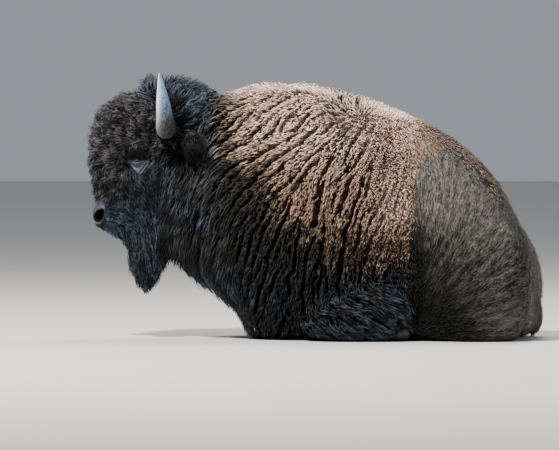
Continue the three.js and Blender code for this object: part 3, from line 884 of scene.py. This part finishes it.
def growCoat(name, s, density, lengthAt):
    # s holds what a user would change; density and lengthAt are given for each point of the bed
    s = {**usualLock, **s}
    draw = np.random.default_rng(s["seed"])
    at = sow(density, s["spacing"], draw)
    root, up, run, room = at(bedPoints), unit(at(bedNormals)), at(bedLie), at(bedDepth)
    weights = at(bedShares)
    furrowShade, loose, part, sink = at(bedFurrow), at(wild), at(bedPart), at(bedSink)
    stay = furrowShade + 0.1 * draw.standard_normal(len(root)) < 0.30      # none grow from the bottom of a furrow
    root, up, run, room, weights, furrowShade, loose, part, sink = (
        values[stay] for values in (root, up, run, room, weights, furrowShade, loose, part, sink))
    count = len(root)
    byFurrow = np.linalg.norm(part, axis=1)
    stray = s["stray"] * (1 + 1.6 * loose) * (1 - 0.75 * byFurrow)
    run = flat(run + stray[:, None] * draw.standard_normal((count, 3)), up)
    across = np.cross(up, run)
    length = s["length"] * draw.uniform(0.7, 1.25, count) * (1 if lengthAt is None else at(lengthAt)[stay])
    length = length * (1 - 0.35 * furrowShade) * (1 - 0.3 * loose)
    layer = draw.random(count) ** 1.5 * s["layers"]
    height = np.maximum(room * (1 - layer), 0.002)
    along = np.linspace(0, 1, s["bends"] + 1)
    phase = draw.uniform(0, 2 * np.pi, count)[:, None]
    swing = 2 * np.pi * s["turns"] * along + phase
    curl = s["curl"] * draw.uniform(0.5, 1.4, count) * (1 + 0.5 * loose) * (1 - 0.7 * byFurrow)
    curl = curl[:, None] * np.sqrt(along)
    rise = height[:, None] * np.sin(np.pi / 2 * np.minimum(along * s["lift"], 1))
    path = (root - up * rootDeep)[:, None] + run[:, None] * (length[:, None] * along)[..., None]
    path = path + up[:, None] * (rise + 0.6 * curl * (np.cos(swing) - np.cos(phase)))[..., None]
    path = path + across[:, None] * (curl * (np.sin(swing) - np.sin(phase)))[..., None]
    path[..., 2] -= s["droop"] * (length[:, None] * along**2)
    path = path + (part * 0.007)[:, None] * along[:, None]
    place, face, _ = nearestOn(outerTree, path[:, -1])
    ragged = s["ragged"] * draw.random(count) ** 2
    proud = dot(path[:, -1] - place, face) + room * layer * 0.8 + ridgeSides * sink - ragged
    path -= (face * np.clip(proud, -0.03, 0.08)[:, None])[:, None] * (along**1.4)[:, None]
    tones = draw.standard_normal(count) * 0.5
    if s["clump"]:
        heads = np.flatnonzero(draw.random(count) < (s["spacing"] / s["clump"]) ** 2)
        own = heads[finderOf(root[heads])(root)]
        pull = s["gather"] * (1 - 0.8 * loose)[:, None] * along**1.5
        path += (path[own, -1] - path[:, -1])[:, None] * pull[..., None]
        tones = tones * 0.6 + 0.7 * draw.standard_normal(count)[own]
    # a lock that would lie across a furrow is cut short
    over = bedFurrow[nearestBed(path[:, -1])] * (furrowShade < 0.25)
    path = root[:, None] + (path - root[:, None]) * (1 - 0.6 * ease(0.25, 0.7, over))[:, None, None]
    path[..., 2] = np.maximum(path[..., 2], 0.003 + 0.5 * s["width"] * (1 - along))
    wide = s["width"] / 2 * draw.uniform(0.7, 1.2, count) * (1 - 0.3 * furrowShade)
    marks = markings(root, weights)
    # painted shade on the locks: dark in the furrows and on the sides of the ridges
    marks["furrowShade"] = np.max([marks["furrowShade"], furrowShade, 0.30 * sink**2], axis=0)
    marks["line"] = at(rearLines)[stay] * marks["rear"]
    order = np.lexsort((root[:, 0], root[:, 1] > 0))
    triangles = count * (6 * s["bends"] - 2)
    groups = np.array_split(order, math.ceil(triangles / coatLimit))
    patches = patchPlace(root)
    for number, group in enumerate(groups):
        title = name if len(groups) == 1 else f"{name}{number + 1}"
        thick = wide[group] * s["flat"]
        groupMarks = {key: values[group] for key, values in marks.items()}
        mesh = lockMesh(title, path[group], across[group], up[group], wide[group], thick,
                        tones[group], groupMarks, patches[group])
        mesh.materials.append(coatFinish)
        piece = linked(title, mesh)
        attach(piece, "root")
    report(f"{name}: {count} locks, {triangles} triangles")
    return triangles


def bedShare(*names):
    return share(bedShares, *names)


mopOnBed = bedShare("head") * mopShare(bedPoints)
bedEye = eyeRadius(bedPoints)
clearOfEyes = ease(0.86, 1.02, bedEye + 0.10 * softNoise(bedPoints, 0.03, 5.0))
barrelTop = bedShare("barrel", "rump") * ease(0.72, 0.95, bedPoints[:, 2]) * ease(0.62, 0.50, bedPoints[:, 0])
faceOnBed = (bedShare("head", "jaw", "muzzle") - mopOnBed) * clearOfEyes
faceOnBed = faceOnBed * ease(-1.005, -0.965, bedPoints[:, 0])
faceLength = (0.25 + 0.75 * ease(-0.98, -0.88, bedPoints[:, 0])) * (0.35 + 0.65 * ease(1.0, 1.6, bedEye))
ridgeOnBed = bedMarks["ridge"] * (1 - barrelTop)
hindOnBed = bedShare("barrel", "rump", "haunch", "tail", "shin") * (1 - barrelTop)

coats = {
    "capeCoat": ("cape_wool", bedShare("cape") + 0.6 * barrelTop, None, {
        "seed": 31, "spacing": 0.0082, "length": 0.032, "width": 0.0060, "curl": 0.0038, "turns": 0.9,
        "bends": 3, "layers": 0.5, "clump": 0.015, "gather": 0.3, "stray": 0.16, "ragged": 0.006}),
    "maneCoat": ("dark_wool", bedShare("mane"), None, {
        "seed": 32, "spacing": 0.0092, "length": 0.090, "width": 0.0070, "curl": 0.0050, "turns": 1.1,
        "bends": 5, "layers": 0.6, "clump": 0.028, "gather": 0.5, "stray": 0.18,
        "droop": 0.1, "ragged": 0.042}),
    "mopCoat": ("dark_wool", mopOnBed * clearOfEyes, None, {
        "seed": 33, "spacing": 0.0064, "length": 0.038, "width": 0.0040, "curl": 0.0050, "turns": 1.0,
        "bends": 4, "layers": 0.5, "clump": 0.023, "gather": 0.5, "stray": 0.6, "ragged": 0.034}),
    "crownCoat": ("dark_wool", bedShare("crown"), None, {
        "seed": 34, "spacing": 0.0076, "length": 0.085, "width": 0.0060, "curl": 0.0045, "turns": 0.8,
        "bends": 5, "layers": 0.6, "clump": 0.024, "gather": 0.5, "stray": 0.35, "ragged": 0.036}),
    "faceCoat": ("dark_wool", faceOnBed, faceLength, {
        "seed": 35, "spacing": 0.0062, "length": 0.046, "width": 0.0042, "curl": 0.0022, "turns": 0.7,
        "bends": 3, "layers": 0.5, "clump": 0.013, "gather": 0.4, "stray": 0.26, "ragged": 0.006}),
    "beardCoat": ("dark_wool", bedShare("beard"), None, {
        "seed": 36, "spacing": 0.0072, "length": 0.110, "width": 0.0056, "curl": 0.0045, "turns": 1.0,
        "bends": 5, "layers": 0.6, "clump": 0.022, "gather": 0.55, "stray": 0.12,
        "droop": 0.1, "ragged": 0.032}),
    "earCoat": ("dark_wool", bedShare("ear"), None, {
        "seed": 37, "spacing": 0.0075, "length": 0.080, "width": 0.0050, "curl": 0.0040, "turns": 0.9,
        "bends": 4, "layers": 0.3, "clump": 0.022, "gather": 0.5, "stray": 0.5, "ragged": 0.034}),
    "forelegCoat": ("dark_wool", bedShare("foreleg"), None, {
        "seed": 38, "spacing": 0.0095, "length": 0.070, "width": 0.0070, "curl": 0.0050, "turns": 1.1,
        "bends": 4, "layers": 0.6, "clump": 0.024, "gather": 0.5, "stray": 0.22, "ragged": 0.008}),
    "hindCoat": ("short_coat", hindOnBed * (1 - ridgeOnBed), None, {
        "seed": 39, "spacing": 0.0105, "length": 0.026, "width": 0.0030, "curl": 0.0006, "turns": 0.5,
        "bends": 2, "layers": 0.3, "stray": 0.10, "flat": 0.4, "ragged": 0.001}),
    "ridgeCoat": ("short_coat", ridgeOnBed, None, {
        "seed": 40, "spacing": 0.0078, "length": 0.042, "width": 0.0050, "curl": 0.0030, "turns": 0.7,
        "bends": 3, "layers": 0.4, "clump": 0.018, "gather": 0.35, "stray": 0.25, "ragged": 0.012}),
    "tailCoat": ("dark_wool", bedShare("tailTuft"), None, {
        "seed": 41, "spacing": 0.0075, "length": 0.070, "width": 0.0050, "curl": 0.003, "turns": 0.8,
        "bends": 4, "layers": 0.5, "clump": 0.018, "gather": 0.4, "stray": 0.12}),
}


class Wire:
    # a shader socket that can be used in plain arithmetic
    def __init__(self, tree, socket=None):
        self.tree, self.socket = tree, socket

    def node(self, kind, settings=None, output=0, **inputs):
        # inputs are given by name, or by number after an underscore
        made = self.tree.nodes.new("ShaderNode" + kind)
        for key, value in (settings or {}).items():
            setattr(made, key, value)
        for key, value in inputs.items():
            spot = made.inputs[int(key[1:]) if key[0] == "_" else key]
            if isinstance(value, Wire):
                self.tree.links.new(value.socket, spot)
            else:
                spot.default_value = value
        return Wire(self.tree, made.outputs[output])

    def math(self, operation, *values):
        sockets = {f"_{index}": value for index, value in enumerate((self, *values))}
        return self.node("Math", {"operation": operation}, **sockets)

    def mixed(self, other, amount, blend="MIX"):
        # colour mix from this one to the other
        return self.node("Mix", {"data_type": "RGBA", "blend_type": blend}, 2, _0=amount, _6=self, _7=other)

    def tinted(self, low, high):
        # the colour low where this is 0, and high where it is 1
        return self.node("Mix", {"data_type": "RGBA"}, 2, _0=self, _6=low, _7=high)

    def noise(self, scale, detail, roughness=0.5):
        # noise over this place
        return self.node("TexNoise", Vector=self, Scale=scale, Detail=detail, Roughness=roughness)

    def clamped(self):
        return self.node("Clamp", Value=self)

    def between(self, low, high):
        # 0 at low and 1 at high
        span = {"Value": self, "From Min": low, "From Max": high}
        return self.node("MapRange", {"interpolation_type": "SMOOTHSTEP"}, **span)

    def __add__(self, other):
        return self.math("ADD", other)

    def __mul__(self, other):
        return self.math("MULTIPLY", other)

    def __sub__(self, other):
        return self.math("SUBTRACT", other)

    def __rsub__(self, other):
        return (self * -1.0) + other

    __radd__, __rmul__ = __add__, __mul__


def colour(text):
    # linear colour from the usual six digits
    parts = [int(text[i:i + 2], 16) / 255 for i in (0, 2, 4)]
    return (*[p / 12.92 if p < 0.04045 else ((p + 0.055) / 1.055) ** 2.4 for p in parts], 1.0)


def newFinish(name, **fixed):
    finish = bpy.data.materials.new(name)
    finish.use_nodes = True
    tree = finish.node_tree
    shader = tree.nodes["Principled BSDF"]
    for key, value in fixed.items():
        shader.inputs[key.replace("_", " ")].default_value = value
    return finish, Wire(tree), shader


def feed(shader, name, wire):
    wire.tree.links.new(wire.socket, shader.inputs[name])


def attribute(wire, name, output="Fac"):
    return wire.node("Attribute", {"attribute_name": name}, output)


def relief(wire, height, strength, deep):
    return wire.node("Bump", Height=height, Strength=strength, Distance=deep)


coatColours = {
    "dark": "080606", "darkTip": "352e2c",
    "warm": "050405", "warmTip": "4b494d",
    # blue painted in for the sky's reflection on the dark hair
    "cool": "04121f", "coolTip": "38485a",
    "wool": "3b2b22", "woolTip": "c6a58c",
    "pale": "7a5e4f", "paleTip": "ffe1cc",
    "rear": "2c2a29", "rearTip": "7a7672",
    "ridge": "251d1a", "ridgeTip": "76655a",
    # near black for the painted shadow under the belly and behind the wool, where the hair is also darker
    "dusk": "040606", "duskTip": "121617",
    "dust": "96948f",
    # near black for the painted shade in furrows, creases, nostrils and shadowed hollows
    "furrowShade": "030202",
    # the light colour is the pale bare skin, also used for the painted glint on the lid and the painted
    # highlight on the nostril rims
    "bare": "0b0b0e", "light": "666b7b", "tan": "2c2624",
}


def coatTint(wire, along, tone):
    # the animal's colours from its markings, darker at the root of the hair than at the tip
    def pair(name):
        return along.tinted(colour(coatColours[name]), colour(coatColours[name + "Tip"]))
    tint = pair("dark")
    for name in ("warm", "cool", "rear", "wool", "pale", "ridge", "dusk"):
        tint = tint.mixed(pair(name), attribute(wire, name))
    place = wire.node("TexCoord", output="Object")
    patchy = place.noise(14.0, 4.0, 0.6)
    grain = place.noise(160.0, 2.0, 0.6)
    mottle = place.noise(46.0, 3.0, 0.65).between(0.30, 0.70)
    dusty = (attribute(wire, "dust") * 0.5 * patchy.between(0.3, 0.7)).clamped()
    tint = tint.mixed(colour(coatColours["dust"]), dusty)
    warm, cool, wool, rear = (attribute(wire, name) for name in ("warm", "cool", "wool", "rear"))
    calm = 1.5 + warm * 0.5 + cool * 0.3 - wool - rear * 0.7
    # painted shade: the marked shade and darker hair take light from the hair, and the sky-blue hair a little
    # too
    shadeDarkening = attribute(wire, "shadeAndDarkHair") * 0.24 + cool * 0.08
    light = tone * 0.34 * calm + (patchy - 0.5) * (0.8 - rear * 0.45) + grain * 0.4
    light = light + (mottle - 0.5) * (calm - rear * 0.55) * 0.46
    light = light + attribute(wire, "line") * 0.24 + attribute(wire, "pale") * 0.08 - shadeDarkening * 1.2 + 0.28
    shade = light.clamped().tinted((0.06, 0.06, 0.06, 1), (2.0, 2.0, 2.0, 1))
    tint = tint.mixed(shade, 1.0, "MULTIPLY")
    # painted shade: near black in the furrows, creases and shadowed hollows
    return tint.mixed(colour(coatColours["furrowShade"]), (attribute(wire, "furrowShade") * 0.95).clamped())


def makeCoatFinish():
    finish, wire, shader = newFinish("coat", Roughness=0.62, Specular_IOR_Level=0.35)
    along = attribute(wire, "along")
    feed(shader, "Base Color", coatTint(wire, along.between(-0.05, 1.0), attribute(wire, "tone")))
    return finish


def makeSkinFinish():
    finish, wire, shader = newFinish("skin", Specular_IOR_Level=0.12)
    place = wire.node("TexCoord", output="Object")
    hairs = attribute(wire, "grain", "Vector").noise(1.0, 3.0, 0.65)
    pores = wire.node("TexVoronoi", {"feature": "SMOOTH_F1"}, Vector=place, Scale=260.0)
    bare, furrowShade = attribute(wire, "bare"), attribute(wire, "furrowShade")
    tint = coatTint(wire, hairs.between(0.25, 0.75) * 0.9, hairs * 2.0 - 1.0)
    # pale skin, with the painted glint and highlight
    lit = attribute(wire, "light") * (pores * 0.8 + 0.45)
    skinTint = lit.tinted(colour(coatColours["bare"]), colour(coatColours["light"]))
    skinTint = skinTint.mixed(colour(coatColours["tan"]), attribute(wire, "tan"))
    # painted shade in the furrows, creases and nostrils
    skinTint = skinTint.mixed(colour(coatColours["furrowShade"]), furrowShade)
    rough = 0.88 - bare * 0.24 - attribute(wire, "wet") * 0.46 + furrowShade * 0.5
    feed(shader, "Base Color", tint.mixed(skinTint, bare))
    feed(shader, "Roughness", rough.clamped())
    feed(shader, "Normal", relief(wire, hairs * (1 - bare) * 0.9 + pores * bare * 0.35, 0.55, 0.004))
    return finish


hornColours = {
    "root": "4b4740", "grown": "6c809c",      # the clean horn low down and higher up
    "fibre": "0c0c0e", "stain": "37322a", "speck": "15151a",
    "frontHighlight": "d6dee9",                        # painted highlight down the horn's front
}


def makeHornFinish():
    finish, wire, shader = newFinish("hornFinish", Specular_IOR_Level=0.18)
    place = wire.node("TexCoord", output="Object")
    height = wire.node("SeparateXYZ", output="Z", Vector=place)
    fibre = wire.node("Mapping", Vector=place, Scale=(65.0, 65.0, 7.0)).noise(1.0, 4.0, 0.65)
    stain = place.noise(45.0, 3.0, 0.6)
    speck = place.noise(150.0, 3.0, 0.65)
    front = attribute(wire, "front")
    grown = height.between(0.98, 1.14)
    marks = {
        "fibre": fibre.between(0.46, 0.62) * (0.85 - grown * 0.45),
        "stain": stain.between(0.42, 0.62) * (1 - grown * 0.9),
        "speck": speck.between(0.45, 0.60) * (0.9 - grown * 0.40),
        # painted highlight, strongest on the upper horn, where it faces forward
        "frontHighlight": front * front * (grown * 1.4 + 0.35),
    }
    tint = grown.tinted(colour(hornColours["root"]), colour(hornColours["grown"]))
    for name, amount in marks.items():
        tint = tint.mixed(colour(hornColours[name]), amount.clamped())
    feed(shader, "Base Color", tint)
    feed(shader, "Roughness", (fibre * 0.2 + 0.48 - grown * 0.18).clamped())
    feed(shader, "Normal", relief(wire, fibre + stain * 0.5, 0.35, 0.002))
    return finish


# the iris's dark blue is a painted reflection of the sky
eyeColours = {"irisSkyBlue": "0c1322", "irisEdge": "050506", "ball": "15110f", "pupil": "020202"}


def makeEyeFinish():
    finish, wire, shader = newFinish("eyeFinish", Specular_IOR_Level=0.55)
    level, up = attribute(wire, "eyeLevel"), attribute(wire, "eyeUp")
    reach = (level * level + up * up).math("SQRT")
    slit = (level * level * 0.35 + up * up * 2.2).math("SQRT")
    tint = reach.between(0.60, 0.68).tinted(colour(eyeColours["irisSkyBlue"]), colour(eyeColours["irisEdge"]))
    tint = tint.mixed(colour(eyeColours["ball"]), reach.between(0.86, 0.97))
    tint = slit.between(0.22, 0.27).tinted(colour(eyeColours["pupil"]), tint)
    feed(shader, "Base Color", tint)
    # the lower half is duller, so that it mirrors less of the floor
    feed(shader, "Roughness", 0.45 - up.between(-0.25, 0.05) * 0.42)
    return finish


hoofColours = {"dark": "1d1b19", "pale": "504c47"}


def makeHoofFinish():
    finish, wire, shader = newFinish("hoofFinish", Roughness=0.62)
    place = wire.node("TexCoord", output="Object")
    bands = wire.node("Mapping", Vector=place, Scale=(160.0, 20.0, 20.0)).noise(1.0, 3.0)
    feed(shader, "Base Color", bands.tinted(colour(hoofColours["dark"]), colour(hoofColours["pale"])))
    feed(shader, "Normal", relief(wire, bands, 0.4, 0.002))
    return finish


coatFinish = makeCoatFinish()
skinFinish = makeSkinFinish()
hornFinish = makeHornFinish()
eyeFinish = makeEyeFinish()
hoofFinish = makeHoofFinish()

# the skin itself
for key, values in skinMarks.items():
    setAttribute(skinMesh, key, values)
# the short hair's grain fans out round the haunch: how fine it is by angle, by radius and across
grainSettings = {"x": 0.42, "z": 0.02, "scales": (90, 26, 30)}
level, rise = skinPoints[:, 0] - grainSettings["x"], skinPoints[:, 2] - grainSettings["z"]
grain = np.stack([np.arctan2(rise, level), np.hypot(level, rise), skinPoints[:, 1]], 1)
setAttribute(skinMesh, "grain", grain * grainSettings["scales"])
dressed(skinMesh, skinFinish)
skin = linked("skin", skinMesh)
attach(skin, "root")
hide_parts(*fleshNodes)

# the coat, part by part
total = 0
for name, (slot, density, lengthAt, values) in coats.items():
    total += growCoat(name, values, density, lengthAt)
report(f"coat of {total} triangles, skin of {2 * len(skinPoints)}")

# horns, eyes and hooves
hornSettings = {
    "root": (-0.701, 0.140, 0.990),      # across is from the head's middle plane
    # ahead, across and up from the root, then the two half widths
    "line": [
        (0.000, -0.060, 0.010, 0.044, 0.044),
        (0.000, 0.000, 0.010, 0.047, 0.047),
        (0.000, 0.085, -0.004, 0.046, 0.047),
        (-0.005, 0.140, 0.042, 0.040, 0.042),
        (-0.014, 0.152, 0.122, 0.029, 0.031),
        (-0.024, 0.130, 0.200, 0.0165, 0.0175),
    ],
    "tip": (-0.031, 0.104), "tipUp": {"left": 0.255, "right": 0.222}, "tipWide": 0.0038,
    "rings": 44, "sides": 28,
    "capRings": (1.0, 0.75, 0.4),        # how far the last rings close
    "capOut": 0.003,
    "ridges": 0.018, "ridgeOften": 70, "ridgesUpTo": 0.62,      # the rings of growth near the root
    "waves": 0.02, "waveOften": 23,
}


def curveThrough(stations, place):
    # a smooth curve through the stations, place from 0 to 1
    stations = np.array(stations)
    spot = place * (len(stations) - 1)
    index = min(int(spot), len(stations) - 2)
    part = spot - index
    a, b = stations[index], stations[index + 1]
    before = stations[max(index - 1, 0)]
    after = stations[min(index + 2, len(stations) - 1)]
    inn, out = (b - before) / 2, (after - a) / 2
    p2, p3 = part**2, part**3
    return (2 * p3 - 3 * p2 + 1) * a + (p3 - 2 * p2 + part) * inn + (3 * p2 - 2 * p3) * b + (p3 - p2) * out


def makeHorn(side, way):
    s = hornSettings
    line = s["line"] + [(*s["tip"], s["tipUp"][side], s["tipWide"], s["tipWide"])]
    root = Vector((s["root"][0], headMiddle + way * s["root"][1], s["root"][2]))
    form = bmesh.new()
    ring = bmesh.ops.create_circle(form, segments=s["sides"], radius=1.0)["verts"]
    placed = Matrix.Identity(4)
    for number in range(s["rings"] + len(s["capRings"])):
        place = min(number / s["rings"], 1.0)
        values = curveThrough(line, place)
        ahead = curveThrough(line, min(place + 0.01, 1)) - curveThrough(line, max(place - 0.01, 0))
        along = Vector((ahead[0], way * ahead[1], ahead[2])).normalized()
        across = along.cross(Vector((1, 0, 0))).normalized()
        raised = across.cross(along)
        ridges = s["ridges"] * math.sin(place * s["ridgeOften"]) * max(0, s["ridgesUpTo"] - place)
        wear = 1 + ridges + s["waves"] * math.sin(place * s["waveOften"] + way)
        close = s["capRings"][max(0, number - s["rings"])]
        spot = root + Vector((values[0], way * values[1], values[2]))
        spot += along * (s["capOut"] * (1 - close))
        axes = (across * values[3] * wear * close, raised * values[4] * wear * close, along)
        matrix = Matrix(axes).transposed().to_4x4()
        matrix.translation = spot
        if number:
            edges = [e for e in form.edges if e.verts[0] in ring and e.verts[1] in ring]
            grown = bmesh.ops.extrude_edge_only(form, edges=edges)["geom"]
            ring = [part for part in grown if isinstance(part, bmesh.types.BMVert)]
        bmesh.ops.transform(form, matrix=matrix @ placed.inverted(), verts=ring)
        placed = matrix
    bmesh.ops.holes_fill(form, edges=[e for e in form.edges if e.is_boundary])
    bmesh.ops.recalc_face_normals(form, faces=form.faces)
    mesh = meshFrom(form, "horn")
    dressed(mesh, hornFinish)
    # how far each point faces forward, for the painted highlight
    setAttribute(mesh, "front", np.clip(-normalsOf(mesh)[:, 0], 0, 1))
    horn = linked("hornPiece_" + side, mesh)
    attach(horn, "root")
    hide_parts("horn_" + side)


eyeSettings = {
    "gaze": (-0.30, 0.02),                        # along x and z, for 1 outwards
    "bulge": 0.06, "bulgeFrom": 0.80,             # the clear bulge in front of the iris
    "around": 40, "down": 28,
}


def makeEye(side, way):
    s, radius = eyeSettings, faceSettings["ballRadius"]
    form = bmesh.new()
    bmesh.ops.create_uvsphere(form, u_segments=s["around"], v_segments=s["down"], radius=radius)
    bmesh.ops.rotate(form, verts=form.verts, matrix=Matrix.Rotation(math.radians(-90 * way), 3, "X"))
    gaze = Vector((s["gaze"][0], way, s["gaze"][1])).normalized()
    for vertex in form.verts:
        facing = vertex.co.normalized().dot(gaze)
        vertex.co *= 1 + s["bulge"] * max(0.0, (facing - s["bulgeFrom"]) / (1 - s["bulgeFrom"]))
    bmesh.ops.translate(form, verts=form.verts, vec=Vector(eyeMiddle[side]) + Vector((0, 0, eyeLift)))
    mesh = meshFrom(form, "eye")
    dressed(mesh, eyeFinish)
    points = (pointsOf(mesh) - eyeMiddle[side] - np.array((0, 0, eyeLift))) / radius
    level = np.cross(np.array(gaze), np.array((0, 0, 1.0)))
    setAttribute(mesh, "eyeLevel", points @ level)
    setAttribute(mesh, "eyeUp", points @ np.cross(level, np.array(gaze)))
    eye = linked("eyeBall_" + side, mesh)
    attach(eye, "root")
    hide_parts("eye_" + side)


hoofSettings = {"cleftWide": 0.005, "cleftDeep": 0.016}      # the split between the two toes


def makeHoof(node):
    form = bmesh.new()
    form.from_mesh(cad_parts[node].data)
    bmesh.ops.remove_doubles(form, verts=form.verts, dist=1e-5)
    bmesh.ops.join_triangles(form, faces=form.faces, angle_face_threshold=1.2, angle_shape_threshold=2.0)
    mesh = withModifier(meshFrom(form, node), "SUBSURF", levels=3, render_levels=3)
    low, high = (np.array(corner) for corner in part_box(node))
    points = pointsOf(mesh)
    centre = (low + high) / 2
    cleft = bump(points[:, 1], centre[1], hoofSettings["cleftWide"])
    free = ease(centre[0], high[0] if "fore" in node else low[0], points[:, 0])
    setPoints(mesh, points - normalsOf(mesh) * (hoofSettings["cleftDeep"] * cleft * free)[:, None])
    dressed(mesh, hoofFinish)
    hoof = linked("hoofPiece" + node[4:], mesh)
    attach(hoof, "root")
    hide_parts(node)


for side, way in (("left", -1), ("right", 1)):
    makeHorn(side, way)
    makeEye(side, way)
    for leg in ("fore", "hind"):
        makeHoof(f"hoof_{leg}_{side}")
report("horns, eyes and hooves made")

# floor, lights and camera
stageSettings = {
    "floorSize": 30.0, "floorColour": (0.62, 0.61, 0.59, 1), "floorRough": 0.85,
    "sky": (0.86, 0.91, 0.98), "skyPower": 0.37,
    # place, aim, size, power and colour
    "lamps": {
        "key": ((-3.2, -4.2, 7.4), (-0.1, 0, 0.6), 0.9, 1620, (1.0, 0.965, 0.92)),
        "fill": ((5.0, -6.0, 2.5), (0.3, 0, 0.5), 4.0, 70, (0.90, 0.95, 1.0)),
        "top": ((0.5, 2.5, 6.0), (0, 0, 0.6), 3.0, 400, (1.0, 0.97, 0.95)),
    },
    "aimAlong": 0.4196, "aimUp": 0.4258,    # what the camera looks at, as shares of the box
    "rise": 1.8, "distance": 30.0,
    "viewWide": 1.2197,                     # width of the view in body lengths
    "sensor": 36, "farthest": 200,
}


def aimed(name, data, place, aim):
    # a lamp or camera at a place, turned to what it aims at
    holder = linked(name, data)
    holder.location = place
    holder.rotation_euler = (Vector(aim) - Vector(place)).to_track_quat("-Z", "Y").to_euler()
    return holder


def placeStage(s):
    boxLow, boxHigh = cadBox
    floorForm = bmesh.new()
    bmesh.ops.create_grid(floorForm, x_segments=1, y_segments=1, size=s["floorSize"])
    floor = linked("floor", meshFrom(floorForm, "floor"))
    finish, _, _ = newFinish("paleFloor", Base_Color=s["floorColour"], Roughness=s["floorRough"])
    floor.data.materials.append(finish)
    world = bpy.data.worlds.new("studio")
    bpy.context.scene.world = world
    world.use_nodes = True
    world.node_tree.nodes["Background"].inputs["Color"].default_value = (*s["sky"], 1)
    world.node_tree.nodes["Background"].inputs["Strength"].default_value = s["skyPower"]
    for name, (place, aim, size, power, tint) in s["lamps"].items():
        light = bpy.data.lights.new(name, "AREA")
        light.size, light.energy, light.color = size, power, tint
        aimed(name, light, place, aim)
    length, height = boxHigh[0] - boxLow[0], boxHigh[2] - boxLow[2]
    target = Vector((boxLow[0] + s["aimAlong"] * length, 0, s["aimUp"] * height))
    rise = math.radians(s["rise"])
    camera = bpy.data.cameras.new("camera")
    camera.sensor_width = s["sensor"]
    camera.lens = camera.sensor_width * s["distance"] / (s["viewWide"] * length)
    camera.clip_end = s["farthest"]
    place = target + s["distance"] * Vector((0, -math.cos(rise), math.sin(rise)))
    bpy.context.scene.camera = aimed("camera", camera, place, target)


placeStage(stageSettings)
report("floor, lights and camera set")
